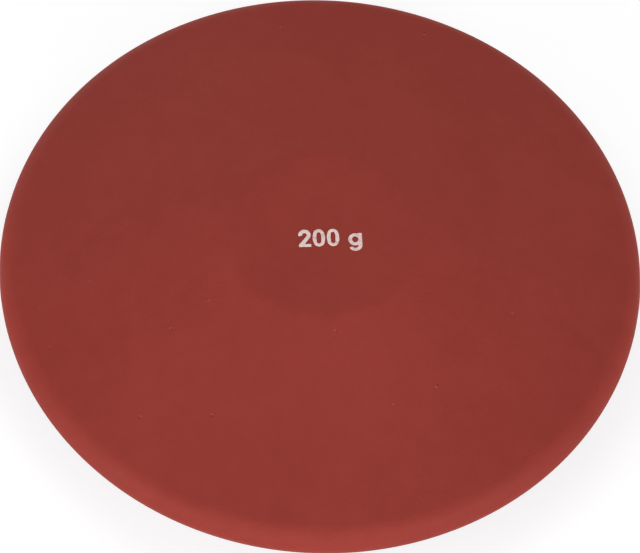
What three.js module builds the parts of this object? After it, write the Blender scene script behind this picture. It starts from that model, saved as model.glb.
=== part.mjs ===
// A soft training discus: a red foam moulding with a tough skin, marked with its mass.
// Millimetres, +Z up. The origin is the centre of the lower flat, which the discus rests on,
// and +X is the reading direction of the printed mass.

import * as THREE from 'three';

// The disc's outline

const discDiameter = 180;
const discThickness = 38;
const rimThickness = 12.5;
const flatDiameter = 50;
const flatEdgeRadius = 16;

// The skin and the foam inside it

const skinWall = 1.5;
const bondGap = 0.3;

// The printed mass

const inkThickness = 0.1;
const digitHeight = 5.6;
const digitWidth = 3.45;
const digitGap = 0.5;
const wordGap = 2.45;
const letterWidth = 3.85;
const letterHeight = 4;
const letterDrop = 1.75;
const uprightStroke = 1.05;
const levelStroke = 0.92;
const markCentreX = 1.95;
const markCentreY = -1.55;

// Shares of the figures' own sizes: where the two's diagonal meets its foot,
// and how high its left corner stands on that foot

const diagonalFootShare = 0.47;
const footCornerShare = 0.75;

// Roundness of the printed curves: 2 is an ellipse, more is squarer

const curveExponent = 2.3;

// Angles where the printed strokes end

const twoStartAngle = THREE.MathUtils.degToRad(192);
const tailEndAngle = THREE.MathUtils.degToRad(-156);

// Facets

const turnSegments = 96;
const rimSteps = 5;
const flatEdgeSteps = 2;
const printSteps = 36;
const printArcSteps = 14;

// Finishes

const skinMaterial = new THREE.MeshStandardMaterial({ color: 0x8f3a33, roughness: 0.58, metalness: 0 });
const foamMaterial = new THREE.MeshStandardMaterial({ color: 0xa2584c, roughness: 0.95, metalness: 0 });
const inkMaterial = new THREE.MeshStandardMaterial({ color: 0xded5cf, roughness: 0.55, metalness: 0 });

// The upper half of the disc's section, from the level centre out to the widest point of
// the rim. The cone is the common tangent of the round at the flat's edge and the rim's
// round, so it needs no points of its own. An inset moves the whole outline inwards.
function halfSection(inset) {
  const flatRadius = flatDiameter / 2;
  const rimRadius = rimThickness / 2;
  const rimCentreX = discDiameter / 2 - rimRadius;
  const edgeCentreY = discThickness / 2 - flatEdgeRadius;
  const run = rimCentreX - flatRadius;
  const lean = Math.asin((flatEdgeRadius - rimRadius) / Math.hypot(run, edgeCentreY));
  const taperAngle = lean + Math.atan2(edgeCentreY, run);

  const edgeRound = flatEdgeRadius - inset;
  const rimRound = rimRadius - inset;
  const points = [];
  for (let i = 0; i <= flatEdgeSteps; i++) {
    const angle = (taperAngle * i) / flatEdgeSteps;
    const x = flatRadius + edgeRound * Math.sin(angle);
    points.push(new THREE.Vector2(x, edgeCentreY + edgeRound * Math.cos(angle)));
  }
  for (let i = 0; i < rimSteps; i++) {
    const angle = taperAngle + ((Math.PI / 2 - taperAngle) * i) / rimSteps;
    const x = rimCentreX + rimRound * Math.sin(angle);
    points.push(new THREE.Vector2(x, rimRound * Math.cos(angle)));
  }
  points.push(new THREE.Vector2(rimCentreX + rimRound, 0));
  return points;
}

// The same outline below the middle of the disc, from the rim in to the lower flat
function mirroredBelow(points) {
  return points.map((point) => new THREE.Vector2(point.x, -point.y)).reverse();
}

// A solid of revolution whose section runs upwards on its outside, stood up along Z
function turned(section) {
  return new THREE.LatheGeometry(section, turnSegments).rotateX(Math.PI / 2);
}

// Each skin is half of a closed shell. The two meet face to face at the parting line,
// round the widest part of the rim.

function upperSkinGeometry() {
  const inside = halfSection(skinWall);
  const outside = halfSection(0).reverse();
  const innerTop = new THREE.Vector2(0, inside[0].y);
  const outerTop = new THREE.Vector2(0, discThickness / 2);
  return turned([innerTop, ...inside, ...outside, outerTop]);
}

function lowerSkinGeometry() {
  const outside = mirroredBelow(halfSection(0)).reverse();
  const inside = mirroredBelow(halfSection(skinWall));
  const outerBottom = new THREE.Vector2(0, -discThickness / 2);
  const innerBottom = new THREE.Vector2(0, inside[inside.length - 1].y);
  return turned([outerBottom, ...outside, ...inside, innerBottom]);
}

// The foam core bears on both skins at the flats and keeps the bond gap everywhere else
function foamCoreGeometry() {
  const upper = halfSection(skinWall + bondGap);
  const padTop = discThickness / 2 - skinWall;
  const padEdge = new THREE.Vector2(flatDiameter / 2, padTop);
  const upperHalf = [new THREE.Vector2(0, padTop), padEdge, ...upper];
  const lowerHalf = mirroredBelow(upperHalf);
  lowerHalf.shift();
  return turned([...upperHalf, ...lowerHalf].reverse());
}

// A closed round outline, anticlockwise from its rightmost point
function roundOutline(centreX, centreY, halfWidth, halfHeight) {
  const points = [];
  for (let i = 0; i < printSteps; i++) {
    const angle = (2 * Math.PI * i) / printSteps;
    const x = Math.sign(Math.cos(angle)) * Math.abs(Math.cos(angle)) ** (2 / curveExponent);
    const y = Math.sign(Math.sin(angle)) * Math.abs(Math.sin(angle)) ** (2 / curveExponent);
    points.push(new THREE.Vector2(centreX + halfWidth * x, centreY + halfHeight * y));
  }
  return points;
}

// Points on a circle or an ellipse from one angle to another, both ends included
function arcPoints(centre, halfWidth, halfHeight, startAngle, endAngle) {
  const points = [];
  for (let i = 0; i <= printArcSteps; i++) {
    const angle = startAngle + ((endAngle - startAngle) * i) / printArcSteps;
    const x = centre.x + halfWidth * Math.cos(angle);
    points.push(new THREE.Vector2(x, centre.y + halfHeight * Math.sin(angle)));
  }
  return points;
}

// The angle on a circle where a line that rises from a point below touches its right side
function touchAngle(point, centre, radius) {
  const distance = point.distanceTo(centre);
  const bearing = Math.atan2(centre.y - point.y, centre.x - point.x);
  return bearing - Math.asin(radius / distance) - Math.PI / 2;
}

function ink(shape) {
  return new THREE.ExtrudeGeometry(shape, { depth: inkThickness, bevelEnabled: false });
}

function zeroGeometry() {
  const centreX = digitWidth / 2;
  const centreY = digitHeight / 2;
  const shape = new THREE.Shape(roundOutline(centreX, centreY, centreX, centreY));
  const counter = roundOutline(centreX, centreY, centreX - uprightStroke, centreY - levelStroke);
  shape.holes.push(new THREE.Path(counter));
  return ink(shape);
}

// The two: a foot, a diagonal whose edges touch the bowl's two circles, and the bowl
function twoGeometry() {
  const outerRadius = digitWidth / 2;
  const innerRadius = outerRadius - uprightStroke;
  const bowl = new THREE.Vector2(outerRadius, digitHeight - outerRadius);
  const crook = new THREE.Vector2(digitWidth * diagonalFootShare, levelStroke);
  const corner = new THREE.Vector2(0, levelStroke * footCornerShare);
  const outerTouch = touchAngle(crook, bowl, outerRadius);
  const innerTouch = touchAngle(corner, bowl, innerRadius);
  return ink(new THREE.Shape([
    new THREE.Vector2(0, 0),
    new THREE.Vector2(digitWidth, 0),
    new THREE.Vector2(digitWidth, levelStroke),
    crook,
    ...arcPoints(bowl, outerRadius, outerRadius, outerTouch, twoStartAngle),
    ...arcPoints(bowl, innerRadius, innerRadius, twoStartAngle, innerTouch),
    corner,
  ]));
}

// The height that a round outline reaches above its centre at a distance to one side of it
function roundRise(sideways, halfWidth, halfHeight) {
  return halfHeight * (1 - (sideways / halfWidth) ** curveExponent) ** (1 / curveExponent);
}

// The gram letter: a round bowl on the left of an upright that hooks back under it
function gramGeometry() {
  const halfWidth = letterWidth / 2;
  const halfHeight = letterHeight / 2;
  const uprightLeft = letterWidth - uprightStroke;
  const hook = new THREE.Vector2(halfWidth, 0);
  const hookInnerWidth = uprightLeft - halfWidth;
  const hookInnerDrop = letterDrop - levelStroke;
  const bowl = roundOutline(halfWidth, halfHeight, halfWidth, halfHeight);
  const joinRise = roundRise(hookInnerWidth, halfWidth, halfHeight);
  const shape = new THREE.Shape([
    new THREE.Vector2(letterWidth, letterHeight),
    new THREE.Vector2(uprightLeft, letterHeight),
    new THREE.Vector2(uprightLeft, halfHeight + joinRise),
    ...bowl.filter((point) => point.x < uprightLeft),
    new THREE.Vector2(uprightLeft, halfHeight - joinRise),
    ...arcPoints(hook, hookInnerWidth, hookInnerDrop, 0, tailEndAngle),
    ...arcPoints(hook, halfWidth, letterDrop, tailEndAngle, 0),
  ]);
  const counter = roundOutline(halfWidth, halfHeight, halfWidth - uprightStroke, halfHeight - levelStroke);
  shape.holes.push(new THREE.Path(counter));
  return ink(shape);
}

function piece(name, geometry, material) {
  const mesh = new THREE.Mesh(geometry, material);
  mesh.name = name;
  return mesh;
}

// The disc is drawn about its own middle, then stood on its lower flat
function makeDisc() {
  const disc = new THREE.Group();
  disc.position.z = discThickness / 2;
  disc.add(piece('upper_skin', upperSkinGeometry(), skinMaterial));
  disc.add(piece('lower_skin', lowerSkinGeometry(), skinMaterial));
  disc.add(piece('foam_core', foamCoreGeometry(), foamMaterial));
  return disc;
}

// The figures stand in a row on the upper flat, centred on the mark's place
function makeMark() {
  const figures = [
    { name: 'print_digit_two', geometry: twoGeometry(), width: digitWidth, gapAfter: digitGap },
    { name: 'print_digit_zero_left', geometry: zeroGeometry(), width: digitWidth, gapAfter: digitGap },
    { name: 'print_digit_zero_right', geometry: zeroGeometry(), width: digitWidth, gapAfter: wordGap },
    { name: 'print_letter_gram', geometry: gramGeometry(), width: letterWidth, gapAfter: 0 },
  ];
  const rowWidth = figures.reduce((sum, figure) => sum + figure.width + figure.gapAfter, 0);
  const mark = new THREE.Group();
  mark.position.set(markCentreX - rowWidth / 2, markCentreY - digitHeight / 2, discThickness);
  let left = 0;
  for (const figure of figures) {
    const mesh = piece(figure.name, figure.geometry, inkMaterial);
    mesh.position.x = left;
    left += figure.width + figure.gapAfter;
    mark.add(mesh);
  }
  return mark;
}

const discus = new THREE.Group();
discus.add(makeDisc());
discus.add(makeMark());

export default discus;
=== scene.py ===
import math

import bmesh
import bpy
from mathutils import Matrix, Vector, noise


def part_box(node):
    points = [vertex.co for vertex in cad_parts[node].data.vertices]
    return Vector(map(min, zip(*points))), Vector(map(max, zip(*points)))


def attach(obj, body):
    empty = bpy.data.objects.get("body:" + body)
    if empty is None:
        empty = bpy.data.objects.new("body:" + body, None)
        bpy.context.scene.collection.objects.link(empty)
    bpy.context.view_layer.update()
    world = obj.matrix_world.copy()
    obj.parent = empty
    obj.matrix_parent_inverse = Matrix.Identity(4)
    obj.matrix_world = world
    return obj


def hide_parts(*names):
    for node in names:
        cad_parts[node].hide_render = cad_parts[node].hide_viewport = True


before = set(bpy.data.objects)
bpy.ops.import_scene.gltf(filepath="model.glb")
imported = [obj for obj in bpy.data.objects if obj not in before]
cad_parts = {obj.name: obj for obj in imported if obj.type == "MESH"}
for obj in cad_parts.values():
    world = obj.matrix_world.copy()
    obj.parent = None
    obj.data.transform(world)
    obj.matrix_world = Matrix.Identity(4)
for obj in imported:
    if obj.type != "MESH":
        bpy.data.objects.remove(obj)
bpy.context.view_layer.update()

bl_info = {
    "name": "Training Discus",
    "version": (1, 0, 0),
    "blender": (4, 5, 0),
    "location": "3D View > Sidebar > Discus",
    "description": "A soft foam discus with a moulded skin and a printed mass",
    "category": "Add Mesh",
}

MM = 0.001
FULL_TURN = 2 * math.pi
MERGE_GAP = 0.001 * MM
TURN_STEPS = 256
PHOTO_WIDTH_PX = 640
SENSOR_WIDTH_MM = 36.0
UP = (0, 0, 1)


def box_of(*nodes):
    """The lowest and highest corners of several CAD nodes together."""
    boxes = [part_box(node) for node in nodes]
    low = Vector(min(box[0][axis] for box in boxes) for axis in range(3))
    high = Vector(max(box[1][axis] for box in boxes) for axis in range(3))
    return low, high


SKIN_LOW, SKIN_HIGH = box_of("lower_skin", "upper_skin")
CORE_TOP = box_of("foam_core")[1].z
MIDDLE = (SKIN_LOW + SKIN_HIGH) / 2


# Properties


def length(name, description, default):
    """A length, given in metres."""
    return bpy.props.FloatProperty(
        name=name, description=description, default=default, min=0.0, unit="LENGTH", subtype="DISTANCE",
        precision=5
    )


def angle(name, description, degrees):
    """An angle, given in degrees."""
    return bpy.props.FloatProperty(
        name=name, description=description, default=math.radians(degrees), unit="ROTATION", subtype="ANGLE"
    )


def colour(name, description, default):
    """A colour, given as linear red, green and blue."""
    return bpy.props.FloatVectorProperty(
        name=name, description=description, default=default, size=3, min=0.0, max=1.0, subtype="COLOR"
    )


def factor(name, description, default):
    """A share from 0 to 1."""
    return bpy.props.FloatProperty(
        name=name, description=description, default=default, min=0.0, max=1.0, subtype="FACTOR"
    )


class DISCUS_PG_outline(bpy.types.PropertyGroup):
    """Sizes of the moulded disc."""

    diameter: length("Diameter", "Across the rim, over the trimmed flash", SKIN_HIGH.x - SKIN_LOW.x)
    thickness: length("Thickness", "Between the two level centres", SKIN_HIGH.z - SKIN_LOW.z)
    rim_thickness: length("Rim Thickness", "Twice the radius of the full round rim", 12.5 * MM)
    flat_diameter: length("Flat Diameter", "Across the level centre, inside its rounded edge", 50 * MM)
    flat_edge_radius: length("Flat Edge Radius", "Round from the level centre to the cone", 16 * MM)
    wall: length("Skin Wall", "Thickness of the tough skin", SKIN_HIGH.z - CORE_TOP)
    flash_height: length("Flash Height", "Height of the flash on each side of the parting line", 0.3 * MM)
    flash_proud: length("Flash Proud", "How far the trimmed flash stands proud of the rim", 0.07 * MM)
    flash_wave: length("Flash Wave", "Distance from one uneven cut in the flash to the next", 9 * MM)
    hollow_depth: length("Hollow Depth", "Depth of the hollows that foam draws into its skin", 0.07 * MM)
    hollow_width: length("Hollow Width", "Distance from one shallow hollow to the next", 26 * MM)


class DISCUS_PG_core(bpy.types.PropertyGroup):
    """Sizes and colours of the foam core."""

    bond_gap: length("Bond Gap", "Gap between the core and the skin on the cones and the rim", 0.3 * MM)
    cell_depth: length("Cell Depth", "Depth of the large cells in the core's face", 0.16 * MM)
    cell_size: length("Cell Size", "Distance from one large cell to the next", 3.4 * MM)
    wall_colour: colour("Cell Wall", "Colour of the foam's cell walls", (0.42, 0.12, 0.088))
    # Painted shade: the darker colour in the hollows of the cells
    cell_shade_colour: colour("Cell", "Colour inside the foam's cells", (0.24, 0.048, 0.036))
    roughness: factor("Roughness", "Roughness of the foam", 0.95)
    gloss: factor("Gloss", "Strength of the foam's reflections", 0.2)


class DISCUS_PG_skin_finish(bpy.types.PropertyGroup):
    """Colours and surface of the skin."""

    body_colour: colour("Body", "Colour of the skin", (0.2745, 0.0389, 0.0277))
    flow_colour: colour("Flow Marks", "Colour of the faint flow marks", (0.295, 0.0428, 0.0311))
    # Painted highlight: the paler spot beside each burst bubble's pit
    lip_highlight_colour: colour("Lips", "Colour of the torn lips of burst bubbles", (0.4, 0.112, 0.087))
    # Painted shadow inside each burst bubble's pit, which is also a real dip
    pit_shadow_colour: colour("Pits", "Colour inside the burst bubbles", (0.15, 0.018, 0.013))
    roughness: factor("Roughness", "Mean roughness of the skin", 0.58)
    roughness_spread: factor("Roughness Spread", "How far the roughness strays from its mean", 0.05)
    gloss: factor("Gloss", "Strength of the skin's reflections", 0.055)


class DISCUS_PG_print(bpy.types.PropertyGroup):
    """Sizes and colours of the printed mass."""

    upright_stroke: length("Upright Stroke", "Width of the upright strokes", 1.05 * MM)
    level_stroke: length("Level Stroke", "Width of the level strokes", 0.92 * MM)
    letter_drop: length("Letter Drop", "How far the letter's tail hangs below the line", 1.75 * MM)
    outline_step: length("Outline Step", "Distance from one point of an outline to the next", 0.12 * MM)
    edge_round: length("Edge Round", "Round of the ink's upper edge", 0.03 * MM)
    edge_wander: length("Edge Wander", "How far the ink's outline strays", 0.045 * MM)
    wander_length: length("Wander Length", "Distance from one stray of the outline to the next", 0.7 * MM)
    ink_colour: colour("Ink", "Colour of thick ink", (0.78, 0.61, 0.57))
    thin_colour: colour("Thin Ink", "Colour where the skin shows through the ink", (0.6, 0.36, 0.32))
    gloss: factor("Gloss", "Strength of the ink's reflections", 0.35)


class DISCUS_PG_stage(bpy.types.PropertyGroup):
    """The camera, the floor and the light from all round."""

    camera_distance: length("Camera Distance", "From the camera to the middle of the disc", 1.4975)
    camera_elevation: angle("Elevation", "Height of the camera above the horizon", 58.53)
    camera_azimuth: angle("Azimuth", "Turn of the camera round the disc", -6.55)
    camera_roll: angle("Roll", "Turn of the camera about its own line of sight", 3.86)
    lens: bpy.props.FloatProperty(
        name="Lens", description="Focal length in millimetres on a 36 mm sensor", default=300.0, min=1.0
    )
    middle_right_px: bpy.props.FloatProperty(
        name="Middle Right", description="Pixels from the picture's centre to the middle", default=0.45
    )
    middle_up_px: bpy.props.FloatProperty(
        name="Middle Up", description="Pixels from the picture's centre up to the middle", default=7.73
    )
    floor_colour: colour("Floor", "Colour of the pale floor", (0.7, 0.7, 0.7))
    floor_lift: factor("Floor Lift", "White that the floor gives off where it is looked at", 0.72)
    shadow_depth: factor("Shadow Depth", "Share of the lamps' light that shows on the floor", 0.6)
    ambient: bpy.props.FloatProperty(
        name="Ambient", description="Strength of the light from all round", default=0.26, min=0.0
    )


# Shader nodes


def make_material(name):
    """An empty material with its shader, as (material, node tree, shader)."""
    material = bpy.data.materials.new(name)
    material.use_nodes = True
    tree = material.node_tree
    return material, tree, tree.nodes["Principled BSDF"]


def feed(tree, socket, value):
    """Gives an input a value, or the output of another node."""
    if isinstance(value, bpy.types.NodeSocket):
        tree.links.new(value, socket)
    else:
        socket.default_value = value


def add_node(tree, kind, settings=None, **inputs):
    """A node with its settings and its inputs, where an underscore stands for a space in a name."""
    node = tree.nodes.new(kind)
    for key, value in (settings or {}).items():
        setattr(node, key, value)
    for key, value in inputs.items():
        feed(tree, node.inputs[key.replace("_", " ")], value)
    return node


def add_noise(tree, vector, size, detail=2.0, roughness=0.5, distortion=0.0):
    """Noise whose largest patches are about the given size."""
    made = add_node(
        tree, "ShaderNodeTexNoise", Vector=vector, Scale=1 / size, Detail=detail, Roughness=roughness,
        Distortion=distortion
    )
    return made.outputs["Fac"]


def add_cells(tree, vector, size, **settings):
    """Cells about as far apart as the given size."""
    return add_node(tree, "ShaderNodeTexVoronoi", settings, Vector=vector, Scale=1 / size, Randomness=1.0)


def remap(tree, value, low, high, to_low=0.0, to_high=1.0):
    """The value moved from one range to another and held inside it."""
    made = add_node(
        tree, "ShaderNodeMapRange", Value=value, From_Min=low, From_Max=high, To_Min=to_low, To_Max=to_high
    )
    return made.outputs["Result"]


def combine(tree, operation, first, second):
    """A sum, product or other pairing of two values."""
    node = add_node(tree, "ShaderNodeMath", {"operation": operation})
    feed(tree, node.inputs[0], first)
    feed(tree, node.inputs[1], second)
    return node.outputs["Value"]


def combine_vectors(tree, operation, first, second):
    """A difference, product or other pairing of two vectors."""
    node = add_node(tree, "ShaderNodeVectorMath", {"operation": operation})
    feed(tree, node.inputs[0], first)
    feed(tree, node.inputs[1], second)
    return node.outputs["Vector"]


def length_of(tree, vector):
    """How long a vector is."""
    return add_node(tree, "ShaderNodeVectorMath", {"operation": "LENGTH"}, Vector=vector).outputs["Value"]


def blend_colours(tree, amount, first, second):
    """The first colour where the amount is 0 and the second where it is 1."""
    node = add_node(tree, "ShaderNodeMix", {"data_type": "RGBA"})
    feed(tree, node.inputs["Factor"], amount)
    colour_inputs = [socket for socket in node.inputs if socket.type == "RGBA"]
    for socket, value in zip(colour_inputs, (first, second)):
        feed(tree, socket, value if isinstance(value, bpy.types.NodeSocket) else (*value, 1.0))
    return next(socket for socket in node.outputs if socket.type == "RGBA")


def add_bump(tree, height, distance, strength, **below):
    """Relief of a real depth, on top of another relief if its normal is given."""
    made = add_node(tree, "ShaderNodeBump", Height=height, Distance=distance, Strength=strength, **below)
    return made.outputs["Normal"]


def place_pattern(tree, shift=(0, 0, 0)):
    """The piece's own coordinates, shifted so that two like pieces don't share one pattern."""
    coordinates = add_node(tree, "ShaderNodeTexCoord").outputs["Object"]
    return add_node(tree, "ShaderNodeMapping", Vector=coordinates, Location=shift).outputs["Vector"]


def seen_directly(tree):
    """1 for rays from the camera and for what is mirrored or seen through glass, and else 0."""
    rays = add_node(tree, "ShaderNodeLightPath").outputs
    mirrored = combine(tree, "MAXIMUM", rays["Is Glossy Ray"], rays["Is Transmission Ray"])
    return combine(tree, "MAXIMUM", rays["Is Camera Ray"], mirrored)


# Finishes


def add_peel(tree, vector):
    """The fine unevenness of a moulded skin, as (noise, relief)."""
    peel = add_noise(tree, vector, size=1.1 * MM, detail=3.0, roughness=0.6)
    return peel, add_bump(tree, peel, distance=0.14 * MM, strength=0.8)


def add_bursts(tree, vector):
    """A few burst bubbles: a pit with painted shadow in it, and beside it a spot of painted highlight, as
    (highlights, pits).
    """
    bubbles = add_cells(tree, vector, size=24 * MM, voronoi_dimensions="2D").outputs
    draw = add_node(tree, "ShaderNodeSeparateColor", Color=bubbles["Color"]).outputs["Blue"]
    burst_share = 0.26
    size_share = remap(tree, draw, low=0.0, high=burst_share, to_low=1.0, to_high=0.0)

    tear = 0.5 * MM
    stray = add_node(tree, "ShaderNodeTexNoise", Vector=vector, Scale=1 / tear, Detail=1.0).outputs["Color"]
    torn = combine_vectors(tree, "ADD", vector, combine_vectors(tree, "MULTIPLY", stray, (tear, tear, 0)))
    from_pit = combine_vectors(tree, "SUBTRACT", torn, bubbles["Position"])

    # The paler spot beside each pit is painted highlight, with no relief of its own
    highlight_reach = 1.2 * MM
    mean_draw = (0.5, 0.5, 0.5)
    highlight_side = combine_vectors(tree, "SUBTRACT", bubbles["Color"], mean_draw)
    highlight_shift = combine_vectors(tree, "MULTIPLY", highlight_side, (highlight_reach, highlight_reach, 0))
    from_highlight = combine_vectors(tree, "SUBTRACT", from_pit, highlight_shift)

    highlight_radius = 0.42 * MM
    pit_radius = 0.34 * MM
    full_share = 1 / 3
    level_only = (1, 1, 0)
    marks = []
    for away, radius in ((from_highlight, highlight_radius), (from_pit, pit_radius)):
        distance = length_of(tree, combine_vectors(tree, "MULTIPLY", away, level_only))
        near = remap(tree, distance, low=radius * full_share, high=radius, to_low=1.0, to_high=0.0)
        marks.append(combine(tree, "MULTIPLY", near, size_share))
    return marks


def skin_material(name, finish, shift):
    """Self-skinned foam: satin, with faint flow marks, a fine peel and a few burst bubbles with painted
    shadow in their pits and painted highlight beside them.
    """
    material, tree, shader = make_material(name)
    vector = place_pattern(tree, shift)

    flow = add_noise(tree, vector, size=34 * MM, detail=4.0, roughness=0.6, distortion=0.6)
    mottle = add_noise(tree, vector, size=6 * MM, detail=4.0, roughness=0.65)
    flow_share = remap(tree, combine(tree, "ADD", flow, mottle), low=0.8, high=1.2)
    body = blend_colours(tree, flow_share, finish.body_colour, finish.flow_colour)

    lip_highlight, pit_dip_and_shadow = add_bursts(tree, vector)
    # Painted highlight on one side of each burst bubble, then painted shadow in its pit
    highlighted_body = blend_colours(tree, lip_highlight, body, finish.lip_highlight_colour)
    feed(tree, shader.inputs["Base Color"], blend_colours(tree, pit_dip_and_shadow, highlighted_body, finish.pit_shadow_colour))

    peel, peel_relief = add_peel(tree, vector)
    handling = add_noise(tree, vector, size=12 * MM, detail=3.0)
    smoothest = finish.roughness - finish.roughness_spread
    roughest = finish.roughness + finish.roughness_spread
    rubbed = remap(
        tree, combine(tree, "ADD", peel, handling), low=0.7, high=1.3, to_low=smoothest, to_high=roughest
    )
    feed(tree, shader.inputs["Roughness"], rubbed)
    feed(tree, shader.inputs["Specular IOR Level"], finish.gloss)

    relief = add_bump(tree, pit_dip_and_shadow, distance=-0.15 * MM, strength=0.6, Normal=peel_relief)
    feed(tree, shader.inputs["Normal"], relief)
    return material


def foam_material(name, core):
    """Fine closed cells: paler walls round darker hollows, whose darkness is painted shade."""
    material, tree, shader = make_material(name)
    vector = place_pattern(tree)

    cells = add_cells(tree, vector, size=0.9 * MM, feature="DISTANCE_TO_EDGE")
    hollow_dip_and_shade = remap(tree, cells.outputs["Distance"], low=0.02, high=0.22)
    density = remap(tree, add_noise(tree, vector, size=18 * MM), low=0.3, high=0.7, to_low=0.6)
    # The hollows' darkness is painted shade, made stronger or weaker at random across the core
    shade = combine(tree, "MULTIPLY", hollow_dip_and_shade, density)
    feed(tree, shader.inputs["Base Color"], blend_colours(tree, shade, core.wall_colour, core.cell_shade_colour))
    feed(tree, shader.inputs["Normal"], add_bump(tree, hollow_dip_and_shade, distance=-0.2 * MM, strength=0.8))
    feed(tree, shader.inputs["Roughness"], core.roughness)
    feed(tree, shader.inputs["Specular IOR Level"], core.gloss)
    return material


def ink_material(name, mark):
    """Off-white printing ink, thin in places, that follows the skin's peel."""
    material, tree, shader = make_material(name)
    vector = place_pattern(tree)

    cover = add_noise(tree, vector, size=1.3 * MM, detail=4.0, roughness=0.65)
    thinness = remap(tree, cover, low=0.5, high=0.72)
    shade = blend_colours(tree, thinness, mark.ink_colour, mark.thin_colour)
    feed(tree, shader.inputs["Base Color"], shade)

    smoothest = 0.45
    roughest = 0.62
    peel, peel_relief = add_peel(tree, vector)
    roughness = remap(tree, peel, low=0.3, high=0.7, to_low=smoothest, to_high=roughest)
    feed(tree, shader.inputs["Roughness"], roughness)
    feed(tree, shader.inputs["Normal"], peel_relief)
    feed(tree, shader.inputs["Specular IOR Level"], mark.gloss)
    return material


# Making meshes


def add_step(bm, vertex, offset):
    """The next vertex of an outline, at an offset from the last one."""
    made = bmesh.ops.extrude_vert_indiv(bm, verts=[vertex])
    bmesh.ops.translate(bm, verts=made["verts"], vec=offset)
    return made["verts"][0]


def add_arc(bm, vertex, centre, turn, step, axis):
    """A round stretch of an outline, from its last vertex to the one that ends the arc."""
    radius = (vertex.co - Vector(centre)).length
    steps = max(1, round(radius * abs(turn) / step))
    made = bmesh.ops.spin(bm, geom=[vertex], cent=centre, axis=axis, angle=turn, steps=steps)
    return next(item for item in made["geom_last"] if isinstance(item, bmesh.types.BMVert))


def join_ends(bm, first, last):
    """A straight edge between the ends of an outline."""
    bmesh.ops.contextual_create(bm, geom=[first, last])


def split_long_edges(bm, step):
    """Cuts the straight stretches of an outline into pieces of about the given length. Vertices
    and edges that were found before this are lost."""
    for edge in bm.edges[:]:
        cuts = round(edge.calc_length() / step) - 1
        if cuts > 0:
            bmesh.ops.subdivide_edges(bm, edges=[edge], cuts=cuts)


def smooth_faces(bm, sharp_angle):
    """Smooth shading, with the edges that turn further than the given angle kept crisp."""
    for face in bm.faces:
        face.smooth = True
    for edge in bm.edges:
        edge.smooth = not (edge.is_manifold and edge.calc_face_angle(0.0) > sharp_angle)


def finish_mesh(bm, name):
    """The bmesh as a mesh of its own."""
    mesh = bpy.data.meshes.new(name)
    bm.to_mesh(mesh)
    bm.free()
    return mesh


def add_piece(name, mesh, material, node):
    """A finished mesh as an object at the origin. It rides on the disc's body, in a node's place."""
    mesh.materials.append(material)
    piece = bpy.data.objects.new(name, mesh)
    bpy.context.scene.collection.objects.link(piece)
    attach(piece, "root")
    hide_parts(node)
    return piece


# The moulded disc

# The length of a facet on the rounds of a section, on the outside and on what the skin covers
OUTER_ARC_STEP = 0.45 * MM
INNER_ARC_STEP = 0.9 * MM


def draw_half_section(bm, outline, inset, arc_step, with_flash=False):
    """Draws the upper half of the disc's section about its middle, in the XZ plane, from the axis
    out to the rim, and returns its last vertex. The cone touches the round of the level centre's
    edge and the round of the rim. An inset moves the whole outline inwards."""
    flat_radius = outline.flat_diameter / 2
    rim_radius = outline.rim_thickness / 2
    edge_centre = Vector((flat_radius, 0, outline.thickness / 2 - outline.flat_edge_radius))
    rim_centre = Vector((outline.diameter / 2 - outline.flash_proud - rim_radius, 0, 0))
    span = rim_centre - edge_centre
    lean = math.asin((outline.flat_edge_radius - rim_radius) / span.length)
    taper = lean - math.atan2(span.z, span.x)
    cone_normal = Vector((math.sin(taper), 0, math.cos(taper)))
    rim_round = rim_radius - inset
    flash_angle = math.asin(outline.flash_height / rim_round) if with_flash else 0.0
    across = (0, 1, 0)

    pole = bm.verts.new((0, 0, outline.thickness / 2 - inset))
    flat_end = add_step(bm, pole, (flat_radius, 0, 0))
    cone_top = add_arc(bm, flat_end, edge_centre, taper, arc_step, across)
    cone_foot = add_step(bm, cone_top, rim_centre + cone_normal * rim_round - cone_top.co)
    rim_end = add_arc(bm, cone_foot, rim_centre, math.pi / 2 - taper - flash_angle, arc_step, across)
    if with_flash:
        chamfer_share = 0.45
        chamfer = (outline.diameter / 2 - rim_end.co.x, 0, -outline.flash_height * chamfer_share)
        crest = add_step(bm, rim_end, chamfer)
        rim_end = add_step(bm, crest, (0, 0, -crest.co.z))
    return rim_end


def revolve(bm):
    """Turns a section about the disc's axis, with its seam and its pole closed."""
    bmesh.ops.spin(
        bm, geom=bm.verts[:] + bm.edges[:], cent=(0, 0, 0), axis=UP, angle=FULL_TURN, steps=TURN_STEPS,
        use_merge=True
    )
    bmesh.ops.remove_doubles(bm, verts=bm.verts[:], dist=MERGE_GAP)
    bmesh.ops.recalc_face_normals(bm, faces=bm.faces[:])


def trim_flash(bm, outline):
    """Cuts the flash a little unevenly, as a blade does."""
    crest_radius = outline.diameter / 2 - outline.flash_proud / 2
    mean_cut_share = 0.35
    for vertex in bm.verts:
        radius = math.hypot(vertex.co.x, vertex.co.y)
        if radius < crest_radius:
            continue
        around = noise.noise(Vector((vertex.co.x, vertex.co.y, 0)) / outline.flash_wave)
        cut = outline.flash_proud * min(1.0, max(0.0, mean_cut_share + around))
        vertex.co.xy *= 1 - cut / radius


def draw_in_hollows(bm, outline, side):
    """Shallow hollows in the outer face of an upper half, where the foam has drawn its skin in.
    The level centre and the rim have none."""
    flat_radius = outline.flat_diameter / 2
    rim_start = outline.diameter / 2 - outline.rim_thickness
    fine_size_share = 0.43
    fine_depth_share = 0.4
    bm.normal_update()
    for vertex in bm.verts:
        across = (math.hypot(vertex.co.x, vertex.co.y) - flat_radius) / (rim_start - flat_radius)
        if vertex.normal.z < 0 or not 0 < across < 1:
            continue
        point = Vector((vertex.co.x, vertex.co.y, side * vertex.co.z)) / outline.hollow_width
        wave = noise.noise(point) + fine_depth_share * noise.noise(point / fine_size_share)
        fade = math.sqrt(math.sin(math.pi * across))
        vertex.co -= vertex.normal * outline.hollow_depth * fade * (1 + wave) / 2


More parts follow.
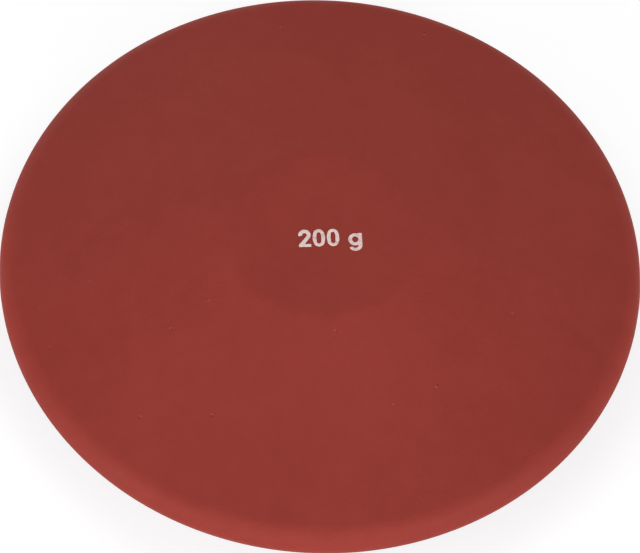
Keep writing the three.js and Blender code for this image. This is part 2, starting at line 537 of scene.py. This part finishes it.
def skin_mesh(name, outline, side):
    """Half of the closed shell. The side is 1 for the upper half and -1 for the lower one."""
    bm = bmesh.new()
    outer_end = draw_half_section(bm, outline, inset=0.0, arc_step=OUTER_ARC_STEP, with_flash=True)
    inner_end = draw_half_section(bm, outline, inset=outline.wall, arc_step=INNER_ARC_STEP)
    join_ends(bm, outer_end, inner_end)
    split_long_edges(bm, step=2 * MM)
    revolve(bm)
    trim_flash(bm, outline)
    draw_in_hollows(bm, outline, side)
    bmesh.ops.scale(bm, vec=(1, 1, side), verts=bm.verts[:])
    bmesh.ops.recalc_face_normals(bm, faces=bm.faces[:])
    bmesh.ops.translate(bm, verts=bm.verts[:], vec=MIDDLE)
    smooth_faces(bm, sharp_angle=math.radians(20))
    return finish_mesh(bm, name)


# Moves the lower skin's pattern away from the upper one's
LOWER_SHIFT = (0.31, 0.17, 0.4)


class DISCUS_OT_model_skins(bpy.types.Operator):
    """Model the upper and the lower half of the skin"""

    bl_idname = "discus.model_skins"
    bl_label = "Model Skins"

    def execute(self, context):
        outline = context.scene.discus_outline
        finish = context.scene.discus_skin_finish
        for node, side, shift in (("upper_skin", 1, (0, 0, 0)), ("lower_skin", -1, LOWER_SHIFT)):
            name = node + "_moulded"
            material = skin_material(node + "_finish", finish, shift)
            add_piece(name, skin_mesh(name, outline, side), material, node)
        return {"FINISHED"}


def core_mesh(name, outline, core):
    """The foam inside the skins. It bears on them at the level centres and has cells elsewhere."""
    bm = bmesh.new()
    draw_half_section(bm, outline, inset=outline.wall + core.bond_gap, arc_step=INNER_ARC_STEP)
    split_long_edges(bm, step=1.4 * MM)
    revolve(bm)
    bmesh.ops.mirror(bm, geom=bm.verts[:] + bm.edges[:] + bm.faces[:], axis="Z", merge_dist=MERGE_GAP)
    bmesh.ops.remove_doubles(bm, verts=bm.verts[:], dist=MERGE_GAP)
    bmesh.ops.recalc_face_normals(bm, faces=bm.faces[:])
    bm.normal_update()
    pad_radius = outline.flat_diameter / 2
    cell_steepness = 1.6
    for vertex in bm.verts:
        if math.hypot(vertex.co.x, vertex.co.y) < pad_radius:
            vertex.co.z += math.copysign(core.bond_gap, vertex.co.z)
            continue
        nearest_cell = noise.voronoi(vertex.co / core.cell_size)[0][0]
        depth = core.cell_depth * max(0.0, 1 - cell_steepness * nearest_cell)
        vertex.co -= vertex.normal * depth
    bmesh.ops.translate(bm, verts=bm.verts[:], vec=MIDDLE)
    smooth_faces(bm, sharp_angle=math.radians(50))
    return finish_mesh(bm, name)


class DISCUS_OT_model_core(bpy.types.Operator):
    """Model the foam core"""

    bl_idname = "discus.model_core"
    bl_label = "Model Core"

    def execute(self, context):
        name = "foam_core_cellular"
        core = context.scene.discus_core
        mesh = core_mesh(name, context.scene.discus_outline, core)
        piece = add_piece(name, mesh, foam_material("foam_finish", core), "foam_core")
        return {"FINISHED"}


# The printed mass, drawn with each figure's lower left corner at the origin


def draw_oval(bm, mark, centre, half_width, half_height):
    """A closed oval of four arcs that run into each other: long ones at its sides, short ones at
    its top and foot."""
    end_radius_share = 0.87
    end_radius = half_width * end_radius_share
    end_height = half_height - end_radius
    side_reach = (end_height**2 - (half_width - end_radius) ** 2) / (2 * (half_width - end_radius))
    side_radius = half_width + side_reach
    lean = math.atan2(end_height, side_reach)
    right_centre = centre - Vector((side_reach, 0, 0))
    left_centre = centre + Vector((side_reach, 0, 0))
    upper_centre = centre + Vector((0, end_height, 0))
    lower_centre = centre - Vector((0, end_height, 0))

    start = bm.verts.new(right_centre + side_radius * Vector((math.cos(lean), -math.sin(lean), 0)))
    vertex = start
    side_turn = 2 * lean
    end_turn = math.pi - side_turn
    for side_centre, end_centre in ((right_centre, upper_centre), (left_centre, lower_centre)):
        vertex = add_arc(bm, vertex, side_centre, side_turn, mark.outline_step, UP)
        vertex = add_arc(bm, vertex, end_centre, end_turn, mark.outline_step, UP)
    bmesh.ops.weld_verts(bm, targetmap={vertex: start})


def draw_zero(bm, mark, width, height):
    """One oval inside another, a stroke apart."""
    centre = Vector((width, height, 0)) / 2
    draw_oval(bm, mark, centre, width / 2, height / 2)
    draw_oval(bm, mark, centre, width / 2 - mark.upright_stroke, height / 2 - mark.level_stroke)


def touch_angle(point, centre, radius):
    """The angle on a circle where a line that rises from a point below touches its right side."""
    reach = centre - point
    return math.atan2(reach.y, reach.x) - math.asin(radius / reach.length) - math.pi / 2


def on_circle(centre, radius, angle_there):
    """The point of a circle at an angle."""
    return centre + radius * Vector((math.cos(angle_there), math.sin(angle_there), 0))


def draw_two(bm, mark, width, height):
    """A foot, a diagonal whose edges touch the bowl's two circles, and the bowl."""
    crook_share = 0.47
    corner_share = 0.75
    outer_radius = width / 2
    inner_radius = outer_radius - mark.upright_stroke
    bowl = Vector((outer_radius, height - outer_radius, 0))
    crook_place = Vector((width * crook_share, mark.level_stroke, 0))
    corner_place = Vector((0, mark.level_stroke * corner_share, 0))
    stroke_end = math.radians(192)
    outer_touch = touch_angle(crook_place, bowl, outer_radius)
    inner_touch = touch_angle(corner_place, bowl, inner_radius)

    foot_left = bm.verts.new((0, 0, 0))
    foot_right = add_step(bm, foot_left, (width, 0, 0))
    foot_top = add_step(bm, foot_right, (0, mark.level_stroke, 0))
    crook = add_step(bm, foot_top, crook_place - foot_top.co)
    bowl_start = add_step(bm, crook, on_circle(bowl, outer_radius, outer_touch) - crook.co)
    bowl_end = add_arc(bm, bowl_start, bowl, stroke_end - outer_touch, mark.outline_step, UP)
    inner_end = add_step(bm, bowl_end, on_circle(bowl, inner_radius, stroke_end) - bowl_end.co)
    inner_start = add_arc(bm, inner_end, bowl, inner_touch - stroke_end, mark.outline_step, UP)
    corner = add_step(bm, inner_start, corner_place - inner_start.co)
    join_ends(bm, corner, foot_left)


def draw_gram(bm, mark, width, height):
    """A round bowl on the left of an upright that hooks back under it. The letter stands on the
    line, and its tail hangs below."""
    radius = width / 2
    upright_left = width - mark.upright_stroke
    inner_radius = upright_left - radius
    bowl = Vector((radius, height / 2, 0))
    outer_hook = Vector((radius, radius - mark.letter_drop, 0))
    inner_hook = Vector((radius, inner_radius + mark.level_stroke - mark.letter_drop, 0))
    join_angle = math.acos(inner_radius / radius)
    tail_turn = math.radians(156)

    top_right = bm.verts.new((width, height, 0))
    top_left = add_step(bm, top_right, (-mark.upright_stroke, 0, 0))
    upper_join = add_step(bm, top_left, on_circle(bowl, radius, join_angle) - top_left.co)
    lower_join = add_arc(bm, upper_join, bowl, FULL_TURN - 2 * join_angle, mark.outline_step, UP)
    hook_start = add_step(bm, lower_join, on_circle(inner_hook, inner_radius, 0) - lower_join.co)
    tail_inside = add_arc(bm, hook_start, inner_hook, -tail_turn, mark.outline_step, UP)
    tail_outside = add_step(bm, tail_inside, on_circle(outer_hook, radius, -tail_turn) - tail_inside.co)
    hook_end = add_arc(bm, tail_outside, outer_hook, tail_turn, mark.outline_step, UP)
    join_ends(bm, hook_end, top_right)
    draw_oval(bm, mark, bowl, radius - mark.upright_stroke, radius - mark.level_stroke)


def soften_outline(bm, mark, limit):
    """Rounds the corners a little and lets the outline stray, as ink does on rubber. The figure
    keeps within its own width."""
    split_long_edges(bm, mark.outline_step)
    softenings = 3
    for _ in range(softenings):
        bmesh.ops.smooth_vert(bm, verts=bm.verts[:], factor=0.5, use_axis_x=True, use_axis_y=True)
    low, high = limit
    far_off = Vector((0, 0, 9.5))
    for vertex in bm.verts:
        place = (vertex.co + low) / mark.wander_length
        stray_x = noise.noise(place) * mark.edge_wander
        stray_y = noise.noise(place + far_off) * mark.edge_wander
        vertex.co.x = min(max(vertex.co.x + stray_x, 0), high.x - low.x)
        vertex.co.y += stray_y


def print_figure(name, mark, draw, limit, baseline):
    """One figure of ink: its outline filled, raised to the ink's thickness and rounded on top."""
    low, high = limit
    bm = bmesh.new()
    draw(bm, mark, high.x - low.x, high.y - baseline)
    soften_outline(bm, mark, limit)
    bmesh.ops.triangle_fill(bm, use_beauty=True, edges=bm.edges[:], normal=UP)
    raised = bmesh.ops.extrude_face_region(bm, geom=bm.faces[:])["geom"]
    raised_verts = [item for item in raised if isinstance(item, bmesh.types.BMVert)]
    bmesh.ops.translate(bm, verts=raised_verts, vec=(0, 0, high.z - low.z))
    bmesh.ops.recalc_face_normals(bm, faces=bm.faces[:])
    corner_turn = math.radians(45)
    upper_rim = [
        edge for edge in bm.edges
        if all(vertex.co.z > mark.edge_round for vertex in edge.verts)
        and edge.calc_face_angle(0.0) > corner_turn
    ]
    bmesh.ops.bevel(
        bm, geom=upper_rim, offset=mark.edge_round, segments=2, profile=0.5, affect="EDGES", material=-1
    )
    bmesh.ops.translate(bm, verts=bm.verts[:], vec=(low.x, baseline, low.z))
    smooth_faces(bm, sharp_angle=math.radians(40))
    return finish_mesh(bm, name)


class DISCUS_OT_print_mass(bpy.types.Operator):
    """Print the mass on the upper level centre"""

    bl_idname = "discus.print_mass"
    bl_label = "Print Mass"

    def execute(self, context):
        mark = context.scene.discus_print
        material = ink_material("ink_finish", mark)
        figures = {
            "print_digit_two": draw_two,
            "print_digit_zero_left": draw_zero,
            "print_digit_zero_right": draw_zero,
            "print_letter_gram": draw_gram,
        }
        baseline = box_of("print_digit_two")[0].y
        for node, draw in figures.items():
            name = node + "_inked"
            mesh = print_figure(name, mark, draw, box_of(node), baseline)
            add_piece(name, mesh, material, node)
        return {"FINISHED"}


# The stage


def floor_material(name, stage):
    """Pale, and lifted towards white where it is looked at, with the disc's shadow kept. Far from
    the disc it is plain white there."""
    material, tree, shader = make_material(name)
    tree.nodes.remove(shader)
    place = add_node(tree, "ShaderNodeTexCoord").outputs["Object"]
    reach = length_of(tree, place)
    fade_start = 0.16
    fade_end = 0.5
    lift = remap(tree, reach, low=fade_start, high=fade_end, to_low=stage.floor_lift)
    shadow_depth = remap(tree, reach, low=fade_start, high=fade_end, to_low=stage.shadow_depth, to_high=0.0)

    seen = seen_directly(tree)
    seen_colour = blend_colours(tree, shadow_depth, (0, 0, 0), stage.floor_colour)
    pale_colour = blend_colours(tree, seen, stage.floor_colour, seen_colour)
    pale = add_node(tree, "ShaderNodeBsdfDiffuse", Color=pale_colour)
    white = add_node(tree, "ShaderNodeEmission", Strength=combine(tree, "MULTIPLY", seen, lift))
    lit = add_node(tree, "ShaderNodeAddShader")
    feed(tree, lit.inputs[0], pale.outputs["BSDF"])
    feed(tree, lit.inputs[1], white.outputs["Emission"])
    feed(tree, tree.nodes["Material Output"].inputs["Surface"], lit.outputs["Shader"])
    return material


def add_floor(stage):
    """A wide round floor that the disc rests on."""
    floor_radius = 3.0
    bm = bmesh.new()
    bmesh.ops.create_circle(bm, cap_ends=True, segments=64, radius=floor_radius)
    mesh = finish_mesh(bm, "floor")
    mesh.materials.append(floor_material("floor_finish", stage))
    floor = bpy.data.objects.new("floor", mesh)
    bpy.context.scene.collection.objects.link(floor)


def set_world(ambient):
    """White where it is looked at or mirrored, and a plain ambient light for everything else."""
    world = bpy.data.worlds.new("studio")
    bpy.context.scene.world = world
    world.use_nodes = True
    tree = world.node_tree
    strength = remap(tree, seen_directly(tree), low=0.0, high=1.0, to_low=ambient, to_high=1.0)
    background = tree.nodes["Background"]
    feed(tree, background.inputs["Color"], (1, 1, 1, 1))
    feed(tree, background.inputs["Strength"], strength)


def direction_of(azimuth, elevation):
    """From the disc towards a place, where azimuth 0 is the front and a positive one the right."""
    level = math.cos(elevation)
    return Vector((math.sin(azimuth) * level, -math.cos(azimuth) * level, math.sin(elevation)))


def add_lamp(name, azimuth, elevation, distance, width, watts, tint=(1, 1, 1)):
    """A square soft lamp that faces the floor under the disc's middle. The angles are in degrees."""
    data = bpy.data.lights.new(name, "AREA")
    data.color = tint
    data.shape = "SQUARE"
    data.size = width
    data.energy = watts
    lamp = bpy.data.objects.new(name, data)
    towards = direction_of(math.radians(azimuth), math.radians(elevation))
    lamp.location = towards * distance
    lamp.rotation_euler = towards.to_track_quat("Z", "Y").to_euler()
    bpy.context.scene.collection.objects.link(lamp)


def add_camera(stage):
    """The photograph's view, aimed so that the disc's middle lies where it does there."""
    data = bpy.data.cameras.new("camera")
    data.lens = stage.lens
    data.sensor_width = SENSOR_WIDTH_MM
    back = direction_of(stage.camera_azimuth, stage.camera_elevation)
    level_right = Vector((math.cos(stage.camera_azimuth), math.sin(stage.camera_azimuth), 0))
    level_up = back.cross(level_right)
    right = level_right * math.cos(stage.camera_roll) + level_up * math.sin(stage.camera_roll)
    up = back.cross(right)
    pixel = stage.camera_distance * SENSOR_WIDTH_MM / stage.lens / PHOTO_WIDTH_PX
    aim = MIDDLE - (right * stage.middle_right_px + up * stage.middle_up_px) * pixel
    camera = bpy.data.objects.new("camera", data)
    turn = Matrix((right, up, back)).transposed().to_4x4()
    camera.matrix_world = Matrix.Translation(aim + back * stage.camera_distance) @ turn
    bpy.context.scene.collection.objects.link(camera)
    bpy.context.scene.camera = camera


class DISCUS_OT_set_stage(bpy.types.Operator):
    """Set the floor, the lamps, the world and the camera"""

    bl_idname = "discus.set_stage"
    bl_label = "Set Stage"

    def execute(self, context):
        stage = context.scene.discus_stage
        context.scene.view_settings.view_transform = "Standard"
        add_floor(stage)
        set_world(stage.ambient)
        cool = (0.985, 1.0, 1.07)
        low = 12
        add_lamp("overhead", azimuth=0, elevation=90, distance=0.22, width=0.14, watts=0.107)
        add_lamp("front", azimuth=-17, elevation=low, distance=1.6, width=0.9, watts=6.5, tint=cool)
        add_lamp("front_right", azimuth=43, elevation=low, distance=1.6, width=0.9, watts=17.6, tint=cool)
        add_lamp("front_left", azimuth=-57, elevation=low, distance=0.8, width=0.45, watts=3.8, tint=cool)
        add_lamp("back_left", azimuth=-157, elevation=low, distance=0.8, width=0.45, watts=2.1)
        add_lamp("back_right", azimuth=143, elevation=low, distance=0.8, width=0.45, watts=1.3)
        add_camera(stage)
        return {"FINISHED"}


# The add-on's panel and registration

GROUPS = {
    "discus_outline": DISCUS_PG_outline,
    "discus_core": DISCUS_PG_core,
    "discus_skin_finish": DISCUS_PG_skin_finish,
    "discus_print": DISCUS_PG_print,
    "discus_stage": DISCUS_PG_stage,
}
OPERATORS = (DISCUS_OT_model_skins, DISCUS_OT_model_core, DISCUS_OT_print_mass, DISCUS_OT_set_stage)


class DISCUS_PT_panel(bpy.types.Panel):
    """Sizes, finishes and steps of the discus"""

    bl_idname = "DISCUS_PT_panel"
    bl_label = "Training Discus"
    bl_space_type = "VIEW_3D"
    bl_region_type = "UI"
    bl_category = "Discus"

    def draw(self, context):
        for name in GROUPS:
            box = self.layout.box()
            group = getattr(context.scene, name)
            box.label(text=name.replace("discus_", "").replace("_", " ").title())
            for prop in group.bl_rna.properties:
                if prop.identifier not in ("rna_type", "name"):
                    box.prop(group, prop.identifier)
        for operator in OPERATORS:
            self.layout.operator(operator.bl_idname)


CLASSES = (*GROUPS.values(), *OPERATORS, DISCUS_PT_panel)


def register():
    for cls in CLASSES:
        bpy.utils.register_class(cls)
    for name, group in GROUPS.items():
        setattr(bpy.types.Scene, name, bpy.props.PointerProperty(type=group))


def unregister():
    for name in GROUPS:
        delattr(bpy.types.Scene, name)
    for cls in reversed(CLASSES):
        bpy.utils.unregister_class(cls)


def main():
    register()
    bpy.ops.discus.model_skins()
    bpy.ops.discus.model_core()
    bpy.ops.discus.print_mass()
    bpy.ops.discus.set_stage()


if __name__ == "__main__":
    main()
